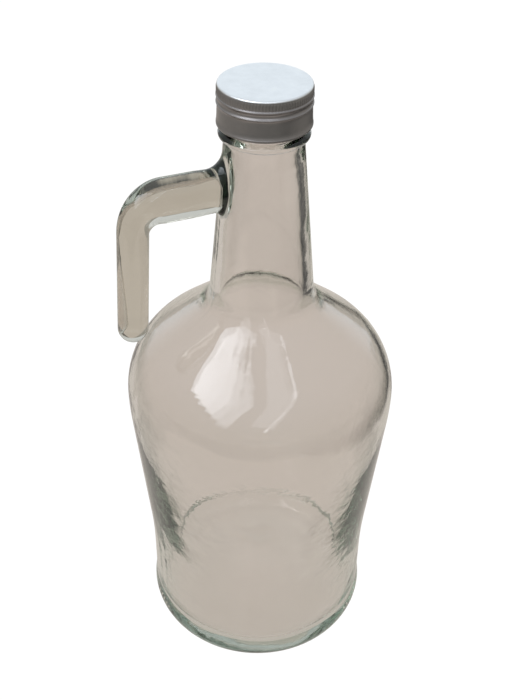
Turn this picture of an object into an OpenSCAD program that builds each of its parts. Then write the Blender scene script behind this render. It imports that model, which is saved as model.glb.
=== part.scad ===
// Half-gallon glass handle jug (growler, 1.9 litres) with a threaded screw cap.
// Millimetres, +Z up. The origin is on the jug's axis, in the plane of its bearing ring.
// The handle stands out towards -X.

/* [Jug] */
// Height of the glass, from the bearing ring to the lip
jug_h = 308; // [290:1:330]
// Largest diameter of the body
belly_d = 132; // [124:1:140]
// Height of the largest diameter
belly_z = 152; // [140:1:160]
// Diameter of the waist just above the heel
waist_d = 115.4; // [108:0.2:120]
// Diameter of the heel band
heel_d = 117.4; // [110:0.2:122]
// Height of the heel band
heel_h = 15; // [12:1:20]
// Radius of the round between the heel band and the bearing ring
heel_round = 12; // [8:1:12]
// Thickness of the glass walls
wall = 3.1; // [2.4:0.1:4]
// Thickness of the glass at the bottom of the neck
neck_wall = 3.9; // [2.8:0.1:4.2]
// Extra thickness of the wall low in the body
base_swell = 2.7; // [0:0.1:4]
// Thickness of the glass at the middle of the base
base_t = 5; // [4:0.5:8]
// Height of the push-up under the base
push_up = 6; // [3:0.5:9]

/* [Shoulder and neck] */
// Radius of the shoulder in side view
shoulder_r = 38.5; // [34:0.5:42]
// Slope of the shoulder where it meets the neck, in degrees from level
shoulder_slope = 40; // [34:1:46]
// Slope of the body wall in degrees from upright
body_taper = 5.3; // [4:0.1:7]
// Diameter at the bottom of the neck
neck_low_d = 51; // [46:0.5:54]
// Diameter at the top of the neck
neck_top_d = 34.6; // [33:0.2:38]
// Height at which the neck meets the collar
neck_top_z = 287; // [284:0.5:288]
// Diameter of the collar under the cap
collar_d = 39.6; // [38:0.2:40]

/* [Finish] */
// Diameter of the mouth
mouth_d = 29.5; // [26:0.5:30]
// Depth of the straight mouth below the lip
mouth_depth = 20; // [16:1:22]
// Diameter of the glass wall under the thread
finish_d = 34.7; // [34:0.1:35.2]
// Diameter over the glass thread
thread_d = 37; // [36.6:0.1:37.4]
// Rise of the thread in one turn, six turns to the inch
lead = 4.2333; // [4:0.0001:4.5]
// Number of turns of thread on the glass and in the cap
thread_turns = 1.4; // [1:0.1:1.5]

/* [Handle] */
// Height of the middle of the arm
arm_z = 265; // [258:1:268]
// Height of the arm's section
arm_h = 20.5; // [16:0.5:22]
// Width of the arm and of the grip, across the handle's plane
handle_w = 14; // [10:0.5:16]
// Depth of the grip's section, in the handle's plane
grip_d = 14; // [10:0.5:16]
// Distance from the jug's axis to the middle of the grip's top end
grip_x = 60; // [56:0.5:64]
// Lean of the grip outwards, in degrees from upright
grip_lean = 3.5; // [0:0.5:6]
// Height of the grip's free end
grip_end_z = 196; // [192:1:210]

/* [Cap] */
// Diameter of the cap's upper skirt
cap_d = 40; // [40:0.1:40.4]
// Diameter of the flared lower skirt
cap_low_d = 41; // [40.8:0.1:42]
// Height of the cap
cap_h = 18; // [17:0.5:18.5]
// Thickness of the aluminium sheet
sheet_t = 0.35; // [0.25:0.05:0.4]
// Thickness of the plastic insert's wall
insert_wall = 0.85; // [0.8:0.05:0.9]
// Thickness of the foam liner
liner_t = 1.6; // [1:0.1:2]
// Number of knurls round the cap
knurls = 96; // [60:4:120]

/* [Hidden] */
$fn = 96;

glass = [0.74, 0.8, 0.77, 0.45];
metal = [0.45, 0.43, 0.42];
foam = [0.93, 0.93, 0.9];
plastic = [0.9, 0.9, 0.88];

// Points of an arc about centre c, from angle a to angle b
function arc(c, r, a, b, n = 8) = [for (i = [0:n]) c + r * [cos(a + (b - a) * i / n), sin(a + (b - a) * i / n)]];

// Jug profile: radii and heights worked out from the driving sizes
belly_r = belly_d / 2;
waist_r = waist_d / 2;
heel_r = heel_d / 2;
bulge_r = 150;
waist_round = 300;
belly_low = [belly_r - bulge_r * (1 - cos(body_taper)), belly_z - bulge_r * sin(body_taper)];
waist_high_r = waist_r + waist_round * (1 - cos(body_taper));
waist_high_z = belly_low[1] - (belly_low[0] - waist_high_r) / tan(body_taper);
waist_z = waist_high_z - waist_round * sin(body_taper);
shoulder_c = [belly_r - shoulder_r, belly_z];
shoulder_top = shoulder_c + shoulder_r * [sin(shoulder_slope), cos(shoulder_slope)];

// The neck's line, and where the shoulder's cone meets it
neck_low_r = neck_low_d / 2;
neck_top_r = neck_top_d / 2;
neck_low_z = 198;
neck_lean = (neck_low_r - neck_top_r) / (neck_top_z - neck_low_z);
function neck_r(z) = neck_low_r - neck_lean * (z - neck_low_z);
joint_r = (neck_r(shoulder_top[1]) - neck_lean * tan(shoulder_slope) * shoulder_top[0])
    / (1 - neck_lean * tan(shoulder_slope));
joint_z = shoulder_top[1] + (shoulder_top[0] - joint_r) * tan(shoulder_slope);
crook = 5;
split_z = joint_z + 2 * crook;

// Bearing ring and inside of the base
ring_out = heel_r - heel_round;
ring_in = ring_out - 4;
floor_z = push_up + base_t;
inner_corner = 10;
dome_steps = 12;

// The inner wall leaves the true offset of the outer wall between these heights
swell_top = 140;
swell_end = 50;
swell_steps = 12;
function swell(z) = base_swell * blend(min(1, max(0, (swell_top - z) / (swell_top - swell_end))));
function outer_r(z) = z > belly_low[1]
    ? belly_r - bulge_r + sqrt(bulge_r * bulge_r - (belly_z - z) * (belly_z - z))
    : z > waist_high_z
        ? waist_high_r + (z - waist_high_z) * tan(body_taper)
        : z > waist_z
            ? waist_r + waist_round - sqrt(waist_round * waist_round - (z - waist_z) * (z - waist_z))
            : waist_r;
function inner_low_r(z) = outer_r(z) - wall - swell(z);

// The heel band eases into the waist over a short height
heel_steps = 5;
heel_blend_h = 5;
function blend(t) = 0.5 - 0.5 * cos(180 * t);
function heel_top(t) = [
    heel_r + (waist_r - heel_r) * blend(t),
    heel_round + (heel_h + heel_blend_h - heel_round) * t
];

// Finish and thread
mouth_r = mouth_d / 2;
finish_r = finish_d / 2;
collar_r = collar_d / 2;
collar_top = jug_h - 16.8;
collar_slope = 1.6;
lip_round = 0.9;
crest_r = thread_d / 2;
thread_gap = 0.3;
thread_root_w = 2;
thread_crest_w = 0.9;
thread_z = jug_h - 10.6;
thread_steps = 34;
thread_sink = 0.3;

// Cap
cap_r = cap_d / 2;
cap_low_r = cap_low_d / 2;
cap_top = jug_h + liner_t + insert_wall + 0.2 + sheet_t;
cap_low = cap_top - cap_h;
insert_top = cap_top - sheet_t;
insert_low = cap_low + 1.3;
insert_r = cap_r - sheet_t;
insert_in_r = insert_r - insert_wall;
liner_r = insert_in_r - 0.5;
bead_1 = cap_top - 5;
bead_2 = cap_top - 8.2;
bead_r = 0.45;
knurl_h = 3.1;
knurl_depth = 0.25;

// Handle: its path runs along the arm, round the bend and down the grip
bend_r = 14;
ring_sides = 32;
root_rings = 10;
bend_rings = 14;
grip_rings = 8;
tip_rings = 7;
bend_turn = 90 - grip_lean;
bend_c = [-(grip_x - bend_r), arm_z - bend_r];
grip_dir = [-sin(grip_lean), -cos(grip_lean)];
grip_start = bend_c + bend_r * [-cos(grip_lean), sin(grip_lean)];
grip_len = (grip_start[1] - grip_end_z) / cos(grip_lean) - grip_d / 2;
root_x = neck_r(arm_z);
root_top = 8;
root_low = 4;
root_side = 3;

// How far a round of radius r stands out at distance s from the wall it meets
function flare(s, r) = s < r ? r - sqrt(r * r - (r - s) * (r - s)) : 0;

// A ring of the handle: centre, inward normal, half sizes above, below and across
function ring(c, up, top, low, side) = [
    for (i = [0:ring_sides - 1])
        let (
            a = 360 * i / ring_sides,
            u = sign(sin(a)) * pow(abs(sin(a)), 0.8),
            v = sign(cos(a)) * pow(abs(cos(a)), 0.8),
            h = u > 0 ? top * u : low * u,
            p = c + h * up
        )
        [p[0], side * v, p[1]]
];

arm_end = grip_x - bend_r;
root_path = [
    for (i = [0:root_rings])
        let (s = -3 + (arm_end - root_x + 3) * pow(i / root_rings, 1.6), d = max(s, 0))
        ring(
            [-(root_x + s), arm_z], [0, 1],
            arm_h / 2 + flare(d, root_top), arm_h / 2 + flare(d, root_low),
            handle_w / 2 + flare(d, root_side)
        )
];
bend_path = [
    for (i = [1:bend_rings])
        let (
            t = i / bend_rings,
            a = 90 + bend_turn * t,
            ease = t * t * (3 - 2 * t),
            half = arm_h / 2 + (grip_d - arm_h) / 2 * ease
        )
        ring(bend_c + bend_r * [cos(a), sin(a)], [cos(a), sin(a)], half, half, handle_w / 2)
];
grip_up = [-cos(grip_lean), sin(grip_lean)];
grip_path = [
    for (i = [1:grip_rings])
        ring(grip_start + grip_len * i / grip_rings * grip_dir, grip_up, grip_d / 2, grip_d / 2, handle_w / 2)
];
tip_path = [
    for (i = [1:tip_rings])
        let (a = 84 * i / tip_rings)
        ring(
            grip_start + (grip_len + grip_d / 2 * sin(a)) * grip_dir, grip_up,
            grip_d / 2 * cos(a), grip_d / 2 * cos(a), handle_w / 2 * cos(a)
        )
];
handle_rings = concat(root_path, bend_path, grip_path, tip_path);

// A closed skin over rings of n points each
module skin(rings) {
    n = len(rings[0]);
    m = len(rings);
    polyhedron(
        points = [for (r = rings) for (p = r) p],
        faces = concat(
            [[for (i = [0:n - 1]) i]],
            [
                for (j = [0:m - 2]) for (i = [0:n - 1])
                    each [
                        [j * n + i, (j + 1) * n + i, (j + 1) * n + (i + 1) % n],
                        [j * n + i, (j + 1) * n + (i + 1) % n, j * n + (i + 1) % n]
                    ]
            ],
            [[for (i = [n - 1:-1:0]) (m - 1) * n + i]]
        ),
        convexity = 6
    );
}

// A right-hand thread from radius r_root to r_crest, starting at height z
module thread(r_root, r_crest, z) {
    inner = r_crest < r_root;
    skin([
        for (i = [0:thread_steps])
            let (
                a = 360 * thread_turns * i / thread_steps,
                end = min(i, thread_steps - i) / 3,
                grow = min(1, 0.25 + 0.75 * end),
                c = z + lead * a / 360,
                tip = r_root + (r_crest - r_root) * grow,
                w0 = thread_root_w / 2,
                w1 = thread_crest_w / 2,
                s = inner ? [0, 1, 2, 3] : [0, 3, 2, 1],
                back = r_root + (inner ? thread_sink : -thread_sink),
                q = [[back, c - w0], [tip, c - w1], [tip, c + w1], [back, c + w0]]
            )
            [for (k = s) [q[k][0] * cos(a), q[k][0] * sin(a), q[k][1]]]
    ]);
}

module jug_body() {
    color(glass)
    rotate_extrude()
    polygon(concat(
        [for (i = [0:dome_steps]) [ring_in * i / dome_steps, push_up * (1 - blend(i / dome_steps))]],
        arc([ring_out, heel_round], heel_round, -90, 0, 8),
        [for (i = [1:heel_steps]) heel_top(i / heel_steps)],
        arc([waist_r + waist_round, waist_z], waist_round, 180, 180 - body_taper, 5),
        arc([belly_r - bulge_r, belly_z], bulge_r, -body_taper, 0, 5),
        arc(shoulder_c, shoulder_r, 0, 90 - shoulder_slope, 14),
        [[joint_r + 2.6, joint_z - 2.6 * tan(shoulder_slope)]],
        [[joint_r + 0.9, joint_z - 0.1]],
        [[neck_r(joint_z + crook), joint_z + crook]],
        [[neck_r(split_z), split_z]],
        [[neck_r(split_z) - neck_wall, split_z]],
        [[neck_r(joint_z) - wall, joint_z - 1]],
        arc(shoulder_c, shoulder_r - wall, 90 - shoulder_slope, 0, 12),
        [
            for (i = [1:swell_steps])
                let (z = belly_z + (waist_z - belly_z) * i / swell_steps)
                [inner_low_r(z), z]
        ],
        arc([inner_low_r(0) - inner_corner, floor_z + inner_corner - 3], inner_corner, 0, -80, 7),
        [[0, floor_z]]
    ));
}

module jug_neck() {
    color(glass) {
        rotate_extrude()
        polygon(concat(
            [[mouth_r, jug_h - lip_round], [mouth_r, jug_h - mouth_depth]],
            [[neck_r(split_z) - neck_wall, split_z], [neck_r(split_z), split_z]],
            [[neck_top_r, neck_top_z - 2]],
            arc([neck_top_r + 1.3, neck_top_z - 1.1], 1.3, 180, 100, 4),
            arc([collar_r - 1.5, neck_top_z + 1.8], 1.5, -80, 0, 4),
            arc([collar_r - 0.6, collar_top - collar_slope - 0.4], 0.6, 0, 50, 3),
            arc([finish_r + 0.6, collar_top + 0.5], 0.6, 240, 180, 3),
            arc([finish_r - lip_round, jug_h - lip_round], lip_round, 0, 90, 4),
            arc([mouth_r + lip_round, jug_h - lip_round], lip_round, 90, 150, 3)
        ));
        thread(finish_r, crest_r, thread_z);
    }
}

module jug_handle() {
    color(glass)
    difference() {
        skin(handle_rings);
        translate([0, 0, split_z - 40])
        cylinder(r1 = neck_r(split_z - 40), r2 = neck_top_r, h = neck_top_z - 2 - split_z + 40);
    }
}

module cap_shell() {
    color(metal) {
        rotate_extrude()
        polygon(concat(
            [[0, cap_top - sheet_t], [0, cap_top]],
            arc([cap_r - 1, cap_top - 1], 1, 90, 0, 5),
            arc([cap_r, bead_1], bead_r, 90, -90, 6),
            arc([cap_r, bead_2], bead_r, 90, -90, 6),
            [[cap_r, bead_2 - 1]],
            [[cap_low_r - 0.15, cap_low + 2]],
            arc([cap_low_r - 0.9, cap_low + 0.9], 0.9, 20, -90, 6),
            [[insert_in_r + 0.4, cap_low], [insert_in_r + 0.4, cap_low + sheet_t]],
            arc([cap_low_r - 0.9, cap_low + 0.9], 0.9 - sheet_t, -90, 20, 5),
            [[cap_low_r - 0.15 - sheet_t, cap_low + 2]],
            [[insert_r, bead_2 - 1]],
            arc([cap_r - 1, cap_top - 1], 1 - sheet_t, 0, 90, 4)
        ));
        translate([0, 0, bead_1 + bead_r + 0.2])
        linear_extrude(knurl_h)
        difference() {
            polygon([
                for (i = [0:2 * knurls - 1])
                    let (a = 180 * i / knurls, r = cap_r + (i % 2 == 0 ? knurl_depth : 0.02))
                    r * [cos(a), sin(a)]
            ]);
            circle(r = cap_r - sheet_t / 2);
        }
    }
}

module cap_insert() {
    color(plastic) {
        difference() {
            translate([0, 0, insert_low])
            cylinder(r = insert_r, h = insert_top - 1 - insert_low);
            translate([0, 0, insert_low - 1])
            cylinder(r = insert_in_r, h = jug_h + liner_t - insert_low + 1);
        }
        translate([0, 0, insert_top - 1])
        rotate_extrude()
        polygon(concat([[0, 0]], [[insert_r, 0]], arc([insert_r - 0.65, 0.35], 0.65, 0, 90, 4), [[0, 1]]));
        thread(insert_in_r, finish_r + thread_gap, thread_z - lead / 2 - 0.35);
    }
}

module cap_liner() {
    color(foam)
    translate([0, 0, jug_h])
    cylinder(r = liner_r, h = liner_t);
}

jug_body();
jug_neck();
jug_handle();
cap_shell();
cap_insert();
cap_liner();
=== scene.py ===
import math

import bmesh
import bpy
from mathutils import Matrix, Vector, noise


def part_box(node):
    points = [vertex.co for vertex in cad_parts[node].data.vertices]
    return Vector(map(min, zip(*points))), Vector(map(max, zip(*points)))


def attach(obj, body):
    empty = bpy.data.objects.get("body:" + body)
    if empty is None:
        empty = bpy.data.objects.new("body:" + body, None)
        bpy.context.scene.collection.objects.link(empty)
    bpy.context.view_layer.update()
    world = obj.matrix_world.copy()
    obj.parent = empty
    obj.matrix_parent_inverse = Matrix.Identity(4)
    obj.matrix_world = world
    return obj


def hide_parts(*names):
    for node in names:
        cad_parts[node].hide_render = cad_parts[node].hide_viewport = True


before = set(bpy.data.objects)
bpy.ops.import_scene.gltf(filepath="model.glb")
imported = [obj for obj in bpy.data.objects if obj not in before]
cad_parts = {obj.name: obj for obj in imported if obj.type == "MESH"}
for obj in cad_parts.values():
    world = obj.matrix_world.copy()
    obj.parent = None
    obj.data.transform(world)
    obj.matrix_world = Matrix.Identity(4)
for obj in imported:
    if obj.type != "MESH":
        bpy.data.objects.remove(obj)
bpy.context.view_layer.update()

# Glass growler: a 1.9 litre jug with its handle in one piece, and a knurled screw cap on it.
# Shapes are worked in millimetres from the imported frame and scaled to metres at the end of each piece.

scene = bpy.context.scene
mm = 0.001


def nodeBox(name):
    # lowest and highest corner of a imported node, in millimetres
    low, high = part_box(name)
    return low / mm, high / mm


bodyLow, bodyHigh = nodeBox("jug_body")
neckLow, neckHigh = nodeBox("jug_neck")
handleLow, handleHigh = nodeBox("jug_handle")
shellLow, shellHigh = nodeBox("cap_shell")
insertLow, insertHigh = nodeBox("cap_insert")
linerLow, linerHigh = nodeBox("cap_liner")


# small tools for outlines and meshes

def arc(cx, cz, r, a, b, n):
    # n + 1 points of an arc from angle a to angle b, in degrees
    turns = [math.radians(a + (b - a) * i / n) for i in range(n + 1)]
    return [(cx + r * math.cos(t), cz + r * math.sin(t)) for t in turns]


def line(start, end, n):
    # n points that lead from start to just before end
    return [(start[0] + (end[0] - start[0]) * i / n, start[1] + (end[1] - start[1]) * i / n) for i in range(n)]


def ease(t):
    t = min(max(t, 0), 1)
    return t * t * (3 - 2 * t)


def spinOutline(points, steps, inside=None):
    # turns an outline of (radius, height) points into a closed solid about Z
    # inside tells which points belong to the inner wall; the mark travels with the spin
    bm = bmesh.new()
    wallMark = bm.verts.layers.float.new("innerWall")
    bm.verts.layers.float.new("solidGlass")
    bm.verts.layers.int.new("side")
    verts = []
    for i, (r, z) in enumerate(points):
        v = bm.verts.new((r, 0, z))
        v[wallMark] = 1.0 if inside and inside(i) else 0.0
        verts.append(v)
    edges = [bm.edges.new((verts[i], verts[i + 1])) for i in range(len(verts) - 1)]
    bmesh.ops.spin(bm, geom=verts + edges, cent=(0, 0, 0), axis=(0, 0, 1), angle=2 * math.pi,
                   steps=steps, use_merge=True)
    bmesh.ops.remove_doubles(bm, verts=bm.verts, dist=0.0005)
    bmesh.ops.recalc_face_normals(bm, faces=bm.faces)
    return bm


def finishPiece(bm, name, material, body, nodes):
    # millimetres to metres, then a smooth object that rides on its body
    bmesh.ops.scale(bm, vec=(mm, mm, mm), verts=bm.verts)
    mesh = bpy.data.meshes.new(name)
    bm.to_mesh(mesh)
    bm.free()
    mesh.shade_smooth()
    mesh.materials.append(material)
    piece = bpy.data.objects.new(name, mesh)
    scene.collection.objects.link(piece)
    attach(piece, body)
    if nodes:
        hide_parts(*nodes)
    print(name, "has", len(mesh.polygons), "faces")
    return piece


def newMaterial(name):
    material = bpy.data.materials.new(name)
    material.use_nodes = True
    tree = material.node_tree
    shader = tree.nodes["Principled BSDF"]
    return material, tree, shader


def addNode(tree, kind, settings=None, **inputs):
    node = tree.nodes.new(kind)
    for key, value in (settings or {}).items():
        setattr(node, key, value)
    for key, value in inputs.items():
        node.inputs[key.replace("_", " ")].default_value = value
    return node


def addNoise(tree, scale, detail, roughness):
    settings = dict(noise_dimensions="3D")
    return addNode(tree, "ShaderNodeTexNoise", settings, Scale=scale, Detail=detail, Roughness=roughness)


jugGlassLook = dict(
    tint=(0.94, 0.907, 0.892, 1),
    solidTint=(0.80, 0.745, 0.68, 1),  # the handle, thick glass with no hollow behind it
    # edge-on glass turns darker and greener: painted shade for dark surroundings seen through the edges, over
    # the glass's own iron green
    rimShadeTint=(0.60, 0.63, 0.56, 1),  # glass seen edge on
    rimShadeFrom=0.55,
    rimShadeTo=0.95,
    roughness=0.0,
    ior=1.5,
    depthColour=(0.60, 0.68, 0.62, 1),  # the green that iron gives a long path through the glass
    depthDensity=30,
    waveScale=55,
    waveStrength=0.35,
    waveDepth=0.0006,
    peelScale=260,
    peelStrength=0.3,
    peelDepth=0.00012,
)


def makeJugGlass():
    look = jugGlassLook
    material, tree, shader = newMaterial("jugGlass")
    links = tree.links
    coords = addNode(tree, "ShaderNodeTexCoord")

    solid = addNode(tree, "ShaderNodeAttribute", dict(attribute_name="solidGlass"))
    mass = addNode(tree, "ShaderNodeMix", dict(data_type="RGBA"))
    mass.inputs[6].default_value = look["tint"]
    mass.inputs[7].default_value = look["solidTint"]
    links.new(solid.outputs["Fac"], mass.inputs["Factor"])
    # towards edge-on the colour goes over to the rim colour: painted shade at the glass's edges, over its own
    # iron green
    edgeOn = addNode(tree, "ShaderNodeLayerWeight", None, Blend=0.5)
    rim = addNode(tree, "ShaderNodeMapRange", dict(interpolation_type="SMOOTHSTEP"))
    rim.inputs["From Min"].default_value = look["rimShadeFrom"]
    rim.inputs["From Max"].default_value = look["rimShadeTo"]
    links.new(edgeOn.outputs["Facing"], rim.inputs["Value"])
    tint = addNode(tree, "ShaderNodeMix", dict(data_type="RGBA"))
    tint.inputs[7].default_value = look["rimShadeTint"]
    links.new(mass.outputs[2], tint.inputs[6])
    links.new(rim.outputs["Result"], tint.inputs["Factor"])
    links.new(tint.outputs[2], shader.inputs["Base Color"])

    # slow waves from the mould and a fine orange peel on the skin
    waves = addNoise(tree, look["waveScale"], 2, 0.45)
    peel = addNoise(tree, look["peelScale"], 2, 0.5)
    links.new(coords.outputs["Object"], waves.inputs["Vector"])
    links.new(coords.outputs["Object"], peel.inputs["Vector"])
    waveBump = addNode(tree, "ShaderNodeBump", None, Strength=look["waveStrength"], Distance=look["waveDepth"])
    peelBump = addNode(tree, "ShaderNodeBump", None, Strength=look["peelStrength"], Distance=look["peelDepth"])
    links.new(waves.outputs["Fac"], waveBump.inputs["Height"])
    links.new(peel.outputs["Fac"], peelBump.inputs["Height"])
    links.new(waveBump.outputs["Normal"], peelBump.inputs["Normal"])
    links.new(peelBump.outputs["Normal"], shader.inputs["Normal"])

    shader.inputs["Transmission Weight"].default_value = 1
    shader.inputs["Roughness"].default_value = look["roughness"]
    shader.inputs["IOR"].default_value = look["ior"]

    depth = addNode(tree, "ShaderNodeVolumeAbsorption", None, Density=look["depthDensity"])
    depth.inputs["Color"].default_value = look["depthColour"]
    links.new(depth.outputs["Volume"], tree.nodes["Material Output"].inputs["Volume"])
    return material


aluminiumLook = dict(
    # skirt colour: painted shade; top colour: a painted bluish sky reflection; both are the same aluminium
    skirt=(0.315, 0.296, 0.290, 1),
    top=(0.93, 0.955, 0.975, 1),
    topSheenFrom=0.0011,  # the colour changes over the rounded edge, this far below the top
    topSheenTo=0.0002,
    cloudScale=140,
    shadeLow=0.88,
    shadeHigh=1.12,
    brushStretch=(60, 60, 9000),
    roughLow=0.28,
    roughHigh=0.46,
    brushStrength=0.3,
    brushDepth=0.00003,
)


def makeAluminium():
    look = aluminiumLook
    material, tree, shader = newMaterial("aluminium")
    links = tree.links
    coords = addNode(tree, "ShaderNodeTexCoord")
    place = addNode(tree, "ShaderNodeSeparateXYZ")
    links.new(coords.outputs["Object"], place.inputs["Vector"])
    # painted light on one metal: the flat top is painted a bright bluish white as a painted sky reflection, and
    # the skirt is painted darker as painted shade
    top = shellHigh.z * mm
    topSheenMask = addNode(tree, "ShaderNodeMapRange", dict(interpolation_type="SMOOTHSTEP"))
    topSheenMask.inputs["From Min"].default_value = top - look["topSheenFrom"]
    topSheenMask.inputs["From Max"].default_value = top - look["topSheenTo"]
    links.new(place.outputs["Z"], topSheenMask.inputs["Value"])
    colour = addNode(tree, "ShaderNodeMix", dict(data_type="RGBA"))
    colour.inputs[6].default_value = look["skirt"]
    colour.inputs[7].default_value = look["top"]
    links.new(topSheenMask.outputs["Result"], colour.inputs["Factor"])
    # faint cloudiness, and fine lines that run round the skirt
    cloud = addNoise(tree, look["cloudScale"], 4, 0.6)
    links.new(coords.outputs["Object"], cloud.inputs["Vector"])
    stretch = addNode(tree, "ShaderNodeMapping", dict(vector_type="POINT"))
    stretch.inputs["Scale"].default_value = look["brushStretch"]
    links.new(coords.outputs["Object"], stretch.inputs["Vector"])
    brush = addNoise(tree, 1, 2, 0.6)
    links.new(stretch.outputs["Vector"], brush.inputs["Vector"])
    shade = addNode(tree, "ShaderNodeMapRange")
    shade.inputs["To Min"].default_value = look["shadeLow"]
    shade.inputs["To Max"].default_value = look["shadeHigh"]
    links.new(cloud.outputs["Fac"], shade.inputs["Value"])
    tone = addNode(tree, "ShaderNodeVectorMath", dict(operation="SCALE"))
    links.new(colour.outputs[2], tone.inputs[0])
    links.new(shade.outputs["Result"], tone.inputs["Scale"])
    links.new(tone.outputs["Vector"], shader.inputs["Base Color"])
    rough = addNode(tree, "ShaderNodeMapRange")
    rough.inputs["To Min"].default_value = look["roughLow"]
    rough.inputs["To Max"].default_value = look["roughHigh"]
    links.new(brush.outputs["Fac"], rough.inputs["Value"])
    links.new(rough.outputs["Result"], shader.inputs["Roughness"])
    bump = addNode(tree, "ShaderNodeBump", None, Strength=look["brushStrength"], Distance=look["brushDepth"])
    links.new(brush.outputs["Fac"], bump.inputs["Height"])
    links.new(bump.outputs["Normal"], shader.inputs["Normal"])
    shader.inputs["Metallic"].default_value = 1
    return material


insertPlasticLook = dict(
    low=(0.74, 0.73, 0.70, 1),
    high=(0.82, 0.81, 0.78, 1),
    flowScale=90,
    bumpStrength=0.2,
    bumpDepth=0.00005,
    roughness=0.42,
    scatter=0.15,
    scatterReach=(0.002, 0.002, 0.0018),
)


def makeInsertPlastic():
    look = insertPlasticLook
    material, tree, shader = newMaterial("insertPlastic")
    links = tree.links
    coords = addNode(tree, "ShaderNodeTexCoord")
    flow = addNoise(tree, look["flowScale"], 3, 0.5)
    links.new(coords.outputs["Object"], flow.inputs["Vector"])
    colour = addNode(tree, "ShaderNodeMix", dict(data_type="RGBA"))
    colour.inputs[6].default_value = look["low"]
    colour.inputs[7].default_value = look["high"]
    links.new(flow.outputs["Fac"], colour.inputs["Factor"])
    links.new(colour.outputs[2], shader.inputs["Base Color"])
    bump = addNode(tree, "ShaderNodeBump", None, Strength=look["bumpStrength"], Distance=look["bumpDepth"])
    links.new(flow.outputs["Fac"], bump.inputs["Height"])
    links.new(bump.outputs["Normal"], shader.inputs["Normal"])
    shader.inputs["Roughness"].default_value = look["roughness"]
    shader.inputs["Subsurface Weight"].default_value = look["scatter"]
    shader.inputs["Subsurface Radius"].default_value = look["scatterReach"]
    return material


linerFoamLook = dict(
    cellMiddle=(0.90, 0.90, 0.88, 1),
    cellEdge=(0.80, 0.80, 0.77, 1),
    cellScale=2600,
    bumpStrength=0.4,
    bumpDepth=0.0001,
    roughness=0.75,
)


def makeLinerFoam():
    look = linerFoamLook
    material, tree, shader = newMaterial("linerFoam")
    links = tree.links
    coords = addNode(tree, "ShaderNodeTexCoord")
    cells = addNode(tree, "ShaderNodeTexVoronoi", dict(voronoi_dimensions="3D"), Scale=look["cellScale"])
    links.new(coords.outputs["Object"], cells.inputs["Vector"])
    colour = addNode(tree, "ShaderNodeMix", dict(data_type="RGBA"))
    colour.inputs[6].default_value = look["cellMiddle"]
    colour.inputs[7].default_value = look["cellEdge"]
    links.new(cells.outputs["Distance"], colour.inputs["Factor"])
    links.new(colour.outputs[2], shader.inputs["Base Color"])
    bump = addNode(tree, "ShaderNodeBump", None, Strength=look["bumpStrength"], Distance=look["bumpDepth"])
    links.new(cells.outputs["Distance"], bump.inputs["Height"])
    links.new(bump.outputs["Normal"], shader.inputs["Normal"])
    shader.inputs["Roughness"].default_value = look["roughness"]
    return material


jugGlass = makeJugGlass()
aluminium = makeAluminium()
insertPlastic = makeInsertPlastic()
linerFoam = makeLinerFoam()
print("finishes made")


# the jug: glass body, neck and handle in one piece
jug = dict(
    steps=200,  # columns round the glass; every second one is a knurl of the bearing ring
    bellyR=bodyHigh.x - 0.12,
    bellyZ=152,
    bulgeR=150,
    bodyTaper=5.3,
    waistR=57.7,
    waistRound=300,
    heelR=58.7,
    heelH=15,
    heelRound=12,
    heelBlend=5,  # the band fades into the waist over this height
    ringWidth=4,
    pushUp=6,
    baseThick=5,
    wall=3.1,
    innerCorner=10,
    shoulderR=38.5,
    shoulderSlope=40,
    neckLowR=25.5,
    neckLowZ=198,
    neckTopR=17.3,
    neckTopZ=287,
    crook=5,
    crookReach=3.4,  # where the curve from shoulder to neck starts, outside the corner
    collarR=19.8,
    collarTop=neckHigh.z - 16.8,
    collarSlope=1.6,
    finishR=17.35,
    mouthR=14.75,
    mouthDepth=30,
    neckWall=4.3,
    lipRound=0.9,
    threadCrestR=18.5,
    threadZ=neckHigh.z - 10.6,
    threadLead=4.2333,
    threadTurns=1.4,
    threadRoot=2,
    threadCrest=0.9,
    knurlDepth=0.35,
    seamHeight=0.12,
    baseSwell=0.05,  # the inner wall draws in by this share of its radius, between the two heights
    swellTop=140,
    swellEnd=50,
    wallWave=0.22,  # how far the inner wall wanders from true
    floorWave=1.5,
)

handle = dict(
    armZ=265,
    armHalf=10.25,
    halfWidth=7,
    flatHalf=5.6,  # half height of the flat panel along the arm's side
    gripHalf=7,
    gripX=60,
    bendR=14,
    lean=3.5,
    endZ=handleLow.z,
    armStart=-31,
    rootTop=8,
    rootLow=4,
    rootSide=1.6,
    patchTop=20,  # the patch of neck wall that gives way to the handle, above and below the arm
    patchLow=16,
    patchTurn=37,  # degrees either side of the handle's plane
)


def neckR(z):
    lean = (jug["neckLowR"] - jug["neckTopR"]) / (jug["neckTopZ"] - jug["neckLowZ"])
    return jug["neckLowR"] - lean * (z - jug["neckLowZ"])


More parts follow.
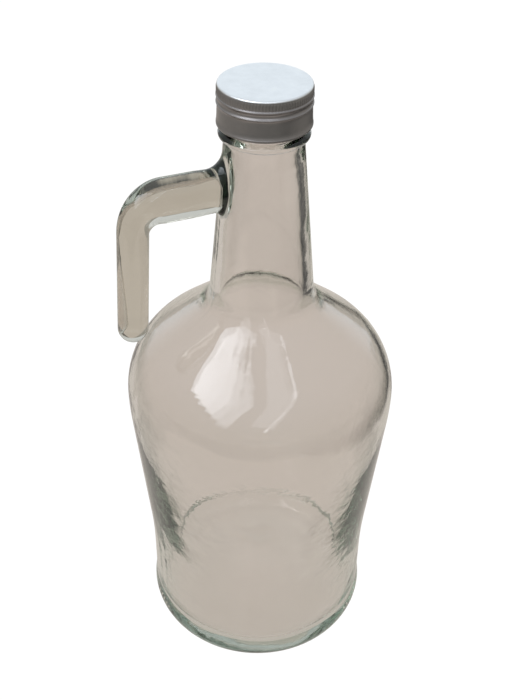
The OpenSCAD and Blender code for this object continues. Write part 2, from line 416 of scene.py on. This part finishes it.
def jugOutline():
    # the outer wall from under the base to the lip, then the inner wall back down to the floor
    j = jug
    slope = math.radians(j["shoulderSlope"])
    taper = math.radians(j["bodyTaper"])
    ringOut = j["heelR"] - j["heelRound"]
    ringIn = ringOut - j["ringWidth"]
    bulgeX = j["bellyR"] - j["bulgeR"]
    bellyLow = (bulgeX + j["bulgeR"] * math.cos(taper), j["bellyZ"] - j["bulgeR"] * math.sin(taper))
    waistHighR = j["waistR"] + j["waistRound"] * (1 - math.cos(taper))
    waistHighZ = bellyLow[1] - (bellyLow[0] - waistHighR) / math.tan(taper)
    waistZ = waistHighZ - j["waistRound"] * math.sin(taper)
    waistX = j["waistR"] + j["waistRound"]
    shoulderX = j["bellyR"] - j["shoulderR"]
    topR = shoulderX + j["shoulderR"] * math.sin(slope)
    topZ = j["bellyZ"] + j["shoulderR"] * math.cos(slope)
    lean = (j["neckLowR"] - j["neckTopR"]) / (j["neckTopZ"] - j["neckLowZ"])
    jointR = (neckR(topZ) - lean * math.tan(slope) * topR) / (1 - lean * math.tan(slope))
    jointZ = topZ + (topR - jointR) * math.tan(slope)
    crook = j["crook"]
    lip = neckHigh.z

    # the push-up is a smooth dome inside the bearing ring
    outer = []
    for i in range(22):
        r = ringIn * i / 22
        outer.append((r, j["pushUp"] * (0.5 + 0.5 * math.cos(math.pi * r / ringIn))))
    outer += line((ringIn, 0), (ringOut, 0), 5)
    outer += arc(ringOut, j["heelRound"], j["heelRound"], -90, 0, 16)
    heelTop = j["heelH"] + j["heelBlend"]
    for i in range(1, 8):
        t = i / 8
        blend = 0.5 - 0.5 * math.cos(math.pi * t)
        r = j["heelR"] + (j["waistR"] - j["heelR"]) * blend
        outer.append((r, j["heelRound"] + (heelTop - j["heelRound"]) * t))
    outer += line((j["waistR"], heelTop), (j["waistR"], waistZ), max(2, round((waistZ - heelTop) / 5)))
    outer += arc(waistX, waistZ, j["waistRound"], 180, 180 - j["bodyTaper"], 8)
    outer += line((waistHighR, waistHighZ), bellyLow, 8)[1:]
    outer += arc(bulgeX, j["bellyZ"], j["bulgeR"], -j["bodyTaper"], 0, 6)
    outer += arc(shoulderX, j["bellyZ"], j["shoulderR"], 0, 90 - j["shoulderSlope"], 26)[1:]
    reach = j["crookReach"]
    crookStart = (jointR + reach, jointZ - reach * math.tan(slope))
    outer += line((topR, topZ), crookStart, 4)[1:]
    # the crook where shoulder and neck meet is a curve that starts along the cone and ends along the neck
    a = Vector(crookStart)
    b = Vector((jointR, jointZ))
    c = Vector((neckR(jointZ + crook), jointZ + crook))
    for i in range(9):
        t = i / 8
        p = a * (1 - t) ** 2 + b * 2 * t * (1 - t) + c * t * t
        outer.append((p.x, p.y))
    neckEnd = j["neckTopZ"] - 2
    outer += line((c.x, c.y), (neckR(neckEnd), neckEnd), round((neckEnd - c.y) / 1.25))[1:]
    outer += arc(j["neckTopR"] + 1.3, j["neckTopZ"] - 1.1, 1.3, 180, 100, 6)
    outer += arc(j["collarR"] - 1.5, j["neckTopZ"] + 1.8, 1.5, -80, 0, 8)
    # the collar's top slopes up to the finish
    outer += arc(j["collarR"] - 0.6, j["collarTop"] - j["collarSlope"] - 0.4, 0.6, 0, 50, 4)
    outer += line(outer[-1], (j["finishR"] + 0.5, j["collarTop"]), 4)[1:]
    outer += arc(j["finishR"] + 0.6, j["collarTop"] + 0.5, 0.6, 240, 180, 4)
    finishEnd = lip - j["lipRound"]
    outer += line((j["finishR"], j["collarTop"] + 1), (j["finishR"], finishEnd), 38)
    outer += arc(j["finishR"] - j["lipRound"], finishEnd, j["lipRound"], 0, 90, 6)

    inner = arc(j["mouthR"] + j["lipRound"], finishEnd, j["lipRound"], 90, 180, 6)
    mouthLow = lip - j["mouthDepth"]
    inner += line((j["mouthR"], finishEnd - 1), (j["mouthR"], mouthLow), 7)
    low = (neckR(jointZ + 1.4 * crook) - j["neckWall"], jointZ + 1.4 * crook)
    inner += line((j["mouthR"], mouthLow), low, 38)
    inside = Vector((neckR(jointZ) - j["wall"], jointZ - 2))
    turnR = shoulderX + (j["shoulderR"] - j["wall"]) * math.sin(slope)
    turnZ = j["bellyZ"] + (j["shoulderR"] - j["wall"]) * math.cos(slope)
    d = Vector((turnR, turnZ))
    e = Vector(low)
    for i in range(11):
        t = i / 10
        p = e * (1 - t) ** 2 + inside * 2 * t * (1 - t) + (inside * 0.7 + d * 0.3) * t * t
        inner.append((p.x, p.y))
    inner += line(inner[-1], (turnR, turnZ), 5)[1:]
    inner += arc(shoulderX, j["bellyZ"], j["shoulderR"] - j["wall"], 90 - j["shoulderSlope"], 0, 20)
    inner += arc(bulgeX, j["bellyZ"], j["bulgeR"] - j["wall"], 0, -j["bodyTaper"], 5)[1:]
    innerLow = (bellyLow[0] - j["wall"], bellyLow[1])
    innerHigh = (waistHighR - j["wall"], waistHighZ)
    inner += line(innerLow, innerHigh, 9)[1:]
    inner += arc(waistX, waistZ, j["waistRound"] + j["wall"], 180 - j["bodyTaper"], 180, 8)
    floorZ = j["pushUp"] + j["baseThick"]
    cornerR = j["waistR"] - j["wall"] - j["innerCorner"]
    cornerZ = floorZ + j["innerCorner"] - 3
    inner += line((j["waistR"] - j["wall"], waistZ), (j["waistR"] - j["wall"], cornerZ), 6)[1:]
    inner += arc(cornerR, cornerZ, j["innerCorner"], 0, -80, 18)
    inner += line(inner[-1], (0, floorZ), 10)[1:]
    inner.append((0, floorZ))
    # the glass thickens towards the base
    thick = []
    for r, z in inner:
        share = ease((j["swellTop"] - z) / (j["swellTop"] - j["swellEnd"]))
        thick.append((r * (1 - j["baseSwell"] * share), z))
    return outer, thick


def makeThread(bm, wallMark, outward, rootR, crestR, startZ, lowZ, highZ):
    # pushes the wall out, or in, along a helix that fades in and out at its ends
    j = jug
    total = 360 * j["threadTurns"]
    for v in bm.verts:
        r = math.hypot(v.co.x, v.co.y)
        if not (lowZ < v.co.z < highZ) or abs(r - rootR) > 0.05 or (v[wallMark] > 0.5) == outward:
            continue
        angle = math.degrees(math.atan2(v.co.y, v.co.x)) % 360
        lift = 0
        for turn in range(2):
            along = angle + 360 * turn
            if along > total:
                continue
            away = abs(v.co.z - startZ - j["threadLead"] * along / 360)
            flank = (j["threadRoot"] / 2 - away) / (j["threadRoot"] / 2 - j["threadCrest"] / 2)
            fade = ease(min(along, total - along) / 40)
            lift = max(lift, ease(flank) * fade)
        radius = rootR + (crestR - rootR) * lift
        v.co.x *= radius / r
        v.co.y *= radius / r


def handleSection(turn, halfWidth, top, low, flatHalf):
    # a flat-sided bar with arched edges above and below; turn is the direction from its middle
    c, s = math.cos(turn), math.sin(turn)
    half = top if s > 0 else low
    flat = min(flatHalf, half * 0.95)
    archWidth = halfWidth / math.sqrt(1 - (flat / half) ** 2)
    arch = 1 / math.sqrt((c / archWidth) ** 2 + (s / half) ** 2)
    reach = min(arch, halfWidth / max(abs(c), 1e-6))
    return reach * c, reach * s


def handleStations():
    # places along the handle's middle line after the root: point, upward normal, half sizes
    h = handle
    lean = math.radians(h["lean"])
    stations = []
    bendX = -(h["gripX"] - h["bendR"])
    bendZ = h["armZ"] - h["bendR"]
    startX = h["armStart"]
    for i in range(9):
        x = startX + (bendX - startX) * i / 9
        stations.append((Vector((x, h["armZ"])), Vector((0, 1)), h["armHalf"], h["flatHalf"]))
    bend = math.radians(90) - lean
    for i in range(25):
        t = i / 24
        a = math.radians(90) + bend * t
        out = Vector((math.cos(a), math.sin(a)))
        half = h["armHalf"] + (h["gripHalf"] - h["armHalf"]) * ease(t)
        flat = h["flatHalf"] * (1 - ease(t * 1.25))
        stations.append((Vector((bendX, bendZ)) + out * h["bendR"], out, half, flat))
    start, out = stations[-1][0], stations[-1][1]
    down = Vector((-math.sin(lean), -math.cos(lean)))
    length = (start.y - h["endZ"]) / math.cos(lean) - h["gripHalf"]
    for i in range(1, 19):
        stations.append((start + down * length * i / 18, out, h["gripHalf"], 0))
    for i in range(1, 12):
        a = math.radians(88 * i / 11)
        tip = start + down * (length + h["gripHalf"] * math.sin(a))
        stations.append((tip, out, h["gripHalf"] * math.cos(a), 0))
    return stations


def addHandle(bm, wallMark, solidMark, sideMark):
    # opens a patch in the neck's outer wall and draws the handle out of its rim
    h = handle
    lowZ, highZ = h["armZ"] - h["patchLow"], h["armZ"] + h["patchTop"]
    patch = []
    for f in bm.faces:
        p = f.calc_center_median()
        onWall = abs(math.hypot(p.x, p.y) - neckR(p.z)) < 0.3 and all(v[wallMark] < 0.5 for v in f.verts)
        facing = abs(math.atan2(p.y, -p.x)) < math.radians(h["patchTurn"])
        if onWall and facing and lowZ < p.z < highZ:
            patch.append(f)
    bmesh.ops.delete(bm, geom=patch, context="FACES")
    rim = [e for e in bm.edges if e.is_boundary]
    rimVerts = sorted({v for e in rim for v in e.verts}, key=lambda v: math.atan2(v.co.z - h["armZ"], v.co.y))
    turns, starts = [], []
    for i, v in enumerate(rimVerts):
        v[sideMark] = i
        starts.append(Vector((v.co.y, v.co.z - h["armZ"])))
        turns.append(math.atan2(v.co.z - h["armZ"], v.co.y))

    def onNeck(y, z):
        return Vector((-math.sqrt(max(neckR(z) ** 2 - y * y, 1)), y, z))

    def bar(i, top=h["armHalf"], low=h["armHalf"], width=h["halfWidth"], flat=0):
        return handleSection(turns[i], width, top, low, flat)

    rings = []
    count = len(rimVerts)
    feet, ends, corners = [], [], []
    for i in range(count):
        y, z = bar(i)
        up = math.sin(turns[i])
        fillet = h["rootSide"] + ((h["rootTop"] if up > 0 else h["rootLow"]) - h["rootSide"]) * up * up
        reach = math.hypot(y, z)
        fy, fz = y * (1 + fillet / reach), z * (1 + fillet / reach)
        foot = onNeck(fy, fz + h["armZ"])
        corner = onNeck(y, z + h["armZ"])
        feet.append(foot)
        corners.append(corner)
        ends.append(corner - Vector((fillet, 0, 0)))
    for t in (0.35, 0.7, 1.0):
        ring = []
        for i in range(count):
            flat = starts[i].lerp(Vector((feet[i].y, feet[i].z - h["armZ"])), t)
            ring.append(onNeck(flat.x, flat.y + h["armZ"]))
        rings.append((ring, 0.0))
    for k in range(1, 11):
        t = k / 10
        ring = []
        for i in range(count):
            a, d = feet[i], ends[i]
            b, c = a.lerp(corners[i], 0.55), d.lerp(corners[i], 0.55)
            ring.append(a * (1 - t) ** 3 + b * 3 * t * (1 - t) ** 2 + c * 3 * t * t * (1 - t) + d * t ** 3)
        rings.append((ring, ease(t)))
    stations = handleStations()
    firstRing = None
    for middle, out, half, flat in stations:
        ring = []
        for i in range(count):
            y, z = bar(i, half, half, h["halfWidth"] * min(half / h["gripHalf"], 1), flat)
            ring.append(Vector((middle.x + out.x * z, y, middle.y + out.y * z)))
        if firstRing is None:
            firstRing = ring
            for t in (0.25, 0.5, 0.75):
                rings.append(([ends[i].lerp(ring[i], t) for i in range(count)], 1.0))
        rings.append((ring, 1.0))

    edges = rim
    for ring, solid in rings:
        made = bmesh.ops.extrude_edge_only(bm, edges=edges)["geom"]
        edges = [g for g in made if isinstance(g, bmesh.types.BMEdge) and g.is_boundary]
        for v in {v for e in edges for v in e.verts}:
            v.co = ring[v[sideMark]]
            v[solidMark] = solid
    tip = {v for e in edges for v in e.verts}
    middle = sum((v.co for v in tip), Vector()) / len(tip)
    bmesh.ops.pointmerge(bm, verts=list(tip), merge_co=(middle.x, 0, handleLow.z))


def makeJug():
    j = jug
    outer, inner = jugOutline()
    bm = spinOutline(outer + inner, j["steps"], lambda i: i >= len(outer))
    wallMark = bm.verts.layers.float["innerWall"]
    solidMark = bm.verts.layers.float["solidGlass"]
    sideMark = bm.verts.layers.int["side"]
    makeThread(bm, wallMark, True, j["finishR"], j["threadCrestR"], j["threadZ"], j["collarTop"] + 1,
               neckHigh.z - j["lipRound"])
    addHandle(bm, wallMark, solidMark, sideMark)

    step = 2 * math.pi / j["steps"]
    ringOut = j["heelR"] - j["heelRound"]
    for v in bm.verts:
        r = math.hypot(v.co.x, v.co.y)
        if r < 1:
            continue
        angle = math.atan2(v.co.y, v.co.x)
        if v[wallMark] > 0.5:
            # the inner wall is free blown, so it wanders a little
            wander = noise.noise(v.co / 26) + 0.5 * noise.noise(v.co / 11 + Vector((7, 3, 1)))
            calm = ease((j["neckTopZ"] - v.co.z) / 40)
            reach = 1 + j["wallWave"] * wander * calm / r
            v.co.x *= reach
            v.co.y *= reach
            if v.co.z < 40:
                v.co.z += j["floorWave"] * noise.noise(v.co / 22 + Vector((2, 5, 9))) * ease((40 - v.co.z) / 20)
        elif v.co.z < 0.9 and ringOut - 3.4 < r < ringOut + 5:
            # knurls that keep the bearing ring off a wet shelf
            if round(angle / step) % 2:
                v.co.z += j["knurlDepth"]
        elif v.co.z < j["neckTopZ"] and v[solidMark] == 0 and abs(v.co.y) < 0.01 and v.co.z > 14:
            # mould seam in the handle's plane
            v.co.x += math.copysign(j["seamHeight"], v.co.x)
    bmesh.ops.recalc_face_normals(bm, faces=bm.faces)
    return finishPiece(bm, "jugGlass", jugGlass, "jug", ["jug_body", "jug_neck", "jug_handle"])


makeJug()


# the cap: rolled aluminium shell, threaded plastic insert and foam liner
cap = dict(
    steps=384,
    knurls=96,
    topR=20,
    lowR=shellHigh.x,
    sheet=0.35,
    rimRound=1.0,
    bead1=5.0,  # below the top
    bead2=8.2,
    beadR=0.45,
    knurlTop=1.3,
    knurlLow=4.35,
    knurlDepth=0.27,
    hemR=0.5,
    insertWall=0.85,
    insertR=insertHigh.x,
    insertThreadGap=0.3,
)


def shellOutline():
    c = cap
    top, low = shellHigh.z, shellLow.z
    t = c["sheet"]
    outer = [(0, top)]
    outer += line((3, top), (c["topR"] - c["rimRound"], top), 8)
    outer += arc(c["topR"] - c["rimRound"], top - c["rimRound"], c["rimRound"], 90, 0, 9)
    outer += line((c["topR"], top - c["knurlTop"]), (c["topR"], top - c["knurlLow"]), 9)
    for bead in (c["bead1"], c["bead2"]):
        outer += arc(c["topR"], top - bead, c["beadR"], 80, -80, 9)
    outer += line((c["topR"], top - c["bead2"] - 1), (c["lowR"] - 0.25, low + 2.1), 6)
    outer += arc(c["lowR"] - c["hemR"], low + 0.9, c["hemR"], 40, 0, 4)
    outer += arc(c["lowR"] - c["hemR"], low + c["hemR"], c["hemR"], 0, -90, 7)
    lipR = c["insertR"] - c["insertWall"] + 0.4
    inner = [(lipR, low), (lipR, low + t)]
    inner += line((lipR + 0.1, low + t), (c["lowR"] - c["hemR"], low + t), 3)
    inner += [(c["lowR"] - c["hemR"] - t + 0.15, low + 1.1), (c["lowR"] - 0.25 - t, low + 2.1)]
    inner += [(c["insertR"] + 0.02, top - c["bead2"] - 1)]
    inner += arc(c["topR"] - c["rimRound"], top - c["rimRound"], c["rimRound"] - t, 0, 90, 5)
    inner += [(8, top - t), (0, top - t)]
    return outer, inner


def makeShell():
    c = cap
    outer, inner = shellOutline()
    bm = spinOutline(outer + inner, c["steps"], lambda i: i >= len(outer))
    wallMark = bm.verts.layers.float["innerWall"]
    knurlHigh, knurlLow = shellHigh.z - c["knurlTop"], shellHigh.z - c["knurlLow"]
    for v in bm.verts:
        r = math.hypot(v.co.x, v.co.y)
        onBand = abs(r - c["topR"]) <= 0.02 and knurlLow + 0.2 < v.co.z < knurlHigh + 0.2
        if v[wallMark] > 0.5 or not onBand:
            continue
        angle = math.atan2(v.co.y, v.co.x)
        rib = 0.5 + 0.5 * math.cos(c["knurls"] * angle)
        fade = ease((knurlHigh + 0.1 - v.co.z) / 0.5) * ease((v.co.z - knurlLow) / 0.5)
        reach = 1 + (c["knurlDepth"] * rib * fade) / r
        v.co.x *= reach
        v.co.y *= reach
    return finishPiece(bm, "capShell", aluminium, "cap", ["cap_shell"])


def makeInsert():
    c, j = cap, jug
    innerR = c["insertR"] - c["insertWall"]
    roof = linerHigh.z
    outer = [(0, insertHigh.z)]
    outer += line((4, insertHigh.z), (c["insertR"] - 0.65, insertHigh.z), 5)
    outer += arc(c["insertR"] - 0.65, insertHigh.z - 0.65, 0.65, 90, 0, 5)
    outer += line((c["insertR"], insertHigh.z - 1.4), (c["insertR"], insertLow.z), 8)
    outer += [(c["insertR"] - 0.05, insertLow.z)]
    inner = [(innerR + 0.15, insertLow.z), (innerR, insertLow.z + 0.15)]
    inner += line((innerR, insertLow.z + 0.4), (innerR, roof - 0.5), 38)
    inner += [(innerR, roof - 0.4), (innerR - 0.4, roof), (innerR - 1, roof), (0, roof)]
    bm = spinOutline(outer + inner, 192, lambda i: i >= len(outer))
    wallMark = bm.verts.layers.float["innerWall"]
    crest = j["finishR"] + c["insertThreadGap"]
    makeThread(bm, wallMark, False, innerR, crest, j["threadZ"] - j["threadLead"] / 2 - 0.35,
               insertLow.z + 0.3, roof - 0.6)
    return finishPiece(bm, "capInsert", insertPlastic, "cap", ["cap_insert"])


def makeLiner():
    r = linerHigh.x
    low, high = linerLow.z, linerHigh.z
    outer = [(0, high)]
    outer += line((5, high), (r - 0.2, high), 4)
    outer += arc(r - 0.2, high - 0.2, 0.2, 90, 0, 3)
    outer += arc(r - 0.2, low + 0.2, 0.2, 0, -90, 3)
    outer += line((r - 1, low), (1, low), 8)
    outer.append((0, low))
    bm = spinOutline(outer, 128)
    return finishPiece(bm, "capLiner", linerFoam, "liner", ["cap_liner"])


makeShell()
makeInsert()
makeLiner()


# where the camera stands, in metres and degrees
view = dict(
    azimuth=-23,
    standOff=0.3988,
    height=0.4842,
    yaw=0.169,
    pitch=38.08,
    roll=1.10,
    focal=53.06,
)

studio = dict(
    floorR=4,
    # what only the glass sees of the floor and the walls; the camera sees all of it as burnt, which is white
    # these floor colours are given off as glow: painted light for the paper, painted shade for the dark strip,
    # the front and the outskirts
    paper=(0.64, 0.583, 0.532, 1),
    outskirts=(0.36, 0.35, 0.32, 1),
    darkStrip=(0.05, 0.045, 0.04, 1),
    front=(0.16, 0.165, 0.15, 1),
    burnt=(1.0, 1.0, 1.0, 1),
    floorPaint=0.05,
    # the paper runs away from the camera between these, and sweeps up behind the jug
    sheetLeft=-0.45,
    sheetRight=0.21,
    stripRight=0.5,  # a dark strip lies along its right edge
    sheetFront=-0.4,
    sheetFade=0.06,
    sweep=(0.82, 0.875, 0.92, 1),
    zenith=(0.70, 0.735, 0.78, 1),
    sky=(0.55, 0.57, 0.58, 1),
    horizon=(0.47, 0.46, 0.43, 1),
    horizonAt=0.1,  # heights of the two lower sky colours, from 0 level to 1 overhead
    skyAt=0.5,
    sweepFrom=0.5,  # how squarely behind the jug a direction is where the sweep starts, and where it is full
    sweepTo=0.85,
    aimHeight=0.18,
    floorRoughness=0.9,
    distance=2.5,
    bounces=28,
    lamp=(0.87, 0.92, 1.0),
)

# softboxes: the way each group faces, and its panes as (across, up, width, height, roll, brightness)
softboxes = dict(
    main=dict(
        azimuth=-76,
        elevation=45,
        panes=[
            (-0.74, 0.10, 0.3, 0.4, 0, 5),
            (-0.44, 0.06, 0.3, 0.7, 0, 4.6),
            (-0.12, 0.02, 0.34, 1.0, 0, 4.2),
            (0.22, -0.02, 0.34, 1.3, 0, 3.6),
            (0.54, -0.06, 0.3, 1.6, 0, 2.4),
            (0.96, -0.1, 0.54, 2.1, 0, 1.8),
        ],
    ),
    side=dict(
        azimuth=-30,
        elevation=50,
        panes=[
            (0.7, -0.15, 0.9, 2.0, -15, 0.8),
            (1.0, -0.3, 0.1, 2.5, -20, 3.5),
        ],
    ),
)


def makeFloor():
    bm = bmesh.new()
    bmesh.ops.create_circle(bm, cap_ends=True, radius=studio["floorR"], segments=96)
    mesh = bpy.data.meshes.new("floor")
    bm.to_mesh(mesh)
    bm.free()
    floor = bpy.data.objects.new("floor", mesh)
    scene.collection.objects.link(floor)
    material, tree, shader = newMaterial("floorPaint")
    paint = studio["floorPaint"]
    shader.inputs["Base Color"].default_value = (paint, paint, paint, 1)
    shader.inputs["Roughness"].default_value = studio["floorRoughness"]
    shader.inputs["Specular IOR Level"].default_value = 0
    # the floor glows with its colours: painted light for the lit paper, painted shade for the dark strip, the
    # front and the outskirts
    shader.inputs["Emission Strength"].default_value = 1
    links = tree.links
    coords = addNode(tree, "ShaderNodeTexCoord")
    turn = addNode(tree, "ShaderNodeMapping")
    turn.inputs["Rotation"].default_value = (0, 0, -math.radians(view["azimuth"]))
    links.new(coords.outputs["Object"], turn.inputs["Vector"])
    place = addNode(tree, "ShaderNodeSeparateXYZ")
    links.new(turn.outputs["Vector"], place.inputs["Vector"])
    span = studio["floorR"] / 2
    across = addNode(tree, "ShaderNodeMapRange")
    across.inputs["From Min"].default_value = -span
    across.inputs["From Max"].default_value = span
    links.new(place.outputs["X"], across.inputs["Value"])
    bands = addNode(tree, "ShaderNodeValToRGB")
    links.new(across.outputs["Result"], bands.inputs["Fac"])
    stops = bands.color_ramp.elements
    fade = studio["sheetFade"]
    left, right, dark = studio["sheetLeft"], studio["sheetRight"], studio["stripRight"]
    stops[0].position, stops[0].color = 0.5 + (left - fade) / span / 2, studio["outskirts"]
    stops[1].position, stops[1].color = 0.5 + (dark + 2 * fade) / span / 2, studio["outskirts"]
    for x, colour in ((left, "paper"), (right, "paper"), (right + fade, "darkStrip"), (dark, "darkStrip")):
        stop = stops.new(0.5 + x / span / 2)
        stop.color = studio[colour]
    along = addNode(tree, "ShaderNodeMapRange", dict(interpolation_type="SMOOTHSTEP"))
    along.inputs["From Min"].default_value = studio["sheetFront"] - studio["sheetFade"]
    along.inputs["From Max"].default_value = studio["sheetFront"]
    links.new(place.outputs["Y"], along.inputs["Value"])
    seen = addNode(tree, "ShaderNodeMix", dict(data_type="RGBA"))
    seen.inputs[6].default_value = studio["front"]
    links.new(bands.outputs["Color"], seen.inputs[7])
    links.new(along.outputs["Result"], seen.inputs["Factor"])
    links.new(burnOut(tree, seen.outputs[2]), shader.inputs["Emission Color"])
    mesh.materials.append(material)


def burnOut(tree, colour):
    # white to the camera alone: reflections and what is seen through glass keep the colour
    path = addNode(tree, "ShaderNodeLightPath")
    shown = addNode(tree, "ShaderNodeMix", dict(data_type="RGBA"))
    shown.inputs[7].default_value = studio["burnt"]
    tree.links.new(colour, shown.inputs[6])
    tree.links.new(path.outputs["Is Camera Ray"], shown.inputs["Factor"])
    return shown.outputs[2]


def makeWorld():
    world = bpy.data.worlds.new("studio")
    world.use_nodes = True
    tree = world.node_tree
    links = tree.links
    coords = addNode(tree, "ShaderNodeTexCoord")
    parts = addNode(tree, "ShaderNodeSeparateXYZ")
    links.new(coords.outputs["Generated"], parts.inputs["Vector"])
    ramp = addNode(tree, "ShaderNodeValToRGB")
    links.new(parts.outputs["Z"], ramp.inputs["Fac"])
    stops = ramp.color_ramp.elements
    stops[0].position, stops[0].color = studio["horizonAt"], studio["horizon"]
    stops[1].position, stops[1].color = 1.0, studio["zenith"]
    middle = stops.new(studio["skyAt"])
    middle.color = studio["sky"]
    # the paper's sweep behind the jug
    a = math.radians(view["azimuth"])
    behind = addNode(tree, "ShaderNodeVectorMath", dict(operation="DOT_PRODUCT"))
    behind.inputs[1].default_value = (-math.sin(a), math.cos(a), 0)
    links.new(coords.outputs["Generated"], behind.inputs[0])
    share = addNode(tree, "ShaderNodeMapRange", dict(interpolation_type="SMOOTHSTEP"))
    share.inputs["From Min"].default_value = studio["sweepFrom"]
    share.inputs["From Max"].default_value = studio["sweepTo"]
    links.new(behind.outputs["Value"], share.inputs["Value"])
    colour = addNode(tree, "ShaderNodeMix", dict(data_type="RGBA"))
    colour.inputs[7].default_value = studio["sweep"]
    links.new(ramp.outputs["Color"], colour.inputs[6])
    links.new(share.outputs["Result"], colour.inputs["Factor"])
    links.new(burnOut(tree, colour.outputs[2]), tree.nodes["Background"].inputs["Color"])
    scene.world = world


def addSoftboxes():
    for name, box in softboxes.items():
        a, e = math.radians(box["azimuth"]), math.radians(box["elevation"])
        way = Vector((math.sin(a) * math.cos(e), -math.cos(a) * math.cos(e), math.sin(e)))
        across = Vector((0, 0, 1)).cross(way).normalized()
        up = way.cross(across)
        aim = Vector((0, 0, studio["aimHeight"]))
        for i, (u, v, width, height, roll, brightness) in enumerate(box["panes"]):
            light = bpy.data.lights.new(name + "Pane" + str(i + 1), "AREA")
            light.shape = "RECTANGLE"
            light.size, light.size_y = width, height
            light.energy = math.pi * width * height * brightness
            light.color = studio["lamp"]
            lamp = bpy.data.objects.new(light.name, light)
            scene.collection.objects.link(lamp)
            turn = Matrix((across, up, way)).transposed() @ Matrix.Rotation(math.radians(roll), 3, "Z")
            place = aim + way * studio["distance"] + across * u + up * v
            lamp.matrix_world = Matrix.Translation(place) @ turn.to_4x4()


def makeCamera():
    v = view
    camera = bpy.data.objects.new("camera", bpy.data.cameras.new("camera"))
    camera.data.sensor_width = 36
    camera.data.lens = v["focal"]
    camera.data.clip_start = 0.01
    turn = Matrix.Rotation(math.radians(v["azimuth"]), 3, "Z")
    yaw, pitch, roll = (math.radians(v[k]) for k in ("yaw", "pitch", "roll"))
    level = math.cos(pitch)
    forward = turn @ Vector((math.sin(yaw) * level, math.cos(yaw) * level, -math.sin(pitch)))
    right = forward.cross(Vector((0, 0, 1))).normalized()
    up = right.cross(forward)
    rolledRight = right * math.cos(roll) + up * math.sin(roll)
    rolledUp = up * math.cos(roll) - right * math.sin(roll)
    place = turn @ Vector((0, -v["standOff"], v["height"]))
    axes = Matrix((rolledRight, rolledUp, -forward)).transposed().to_4x4()
    camera.matrix_world = Matrix.Translation(place) @ axes
    scene.collection.objects.link(camera)
    scene.camera = camera


makeFloor()
makeWorld()
addSoftboxes()
makeCamera()
scene.view_settings.view_transform = "Standard"
# light turns many corners inside thick glass before it comes out
scene.cycles.max_bounces = studio["bounces"]
scene.cycles.glossy_bounces = studio["bounces"]
scene.cycles.transmission_bounces = studio["bounces"]
print("studio made")
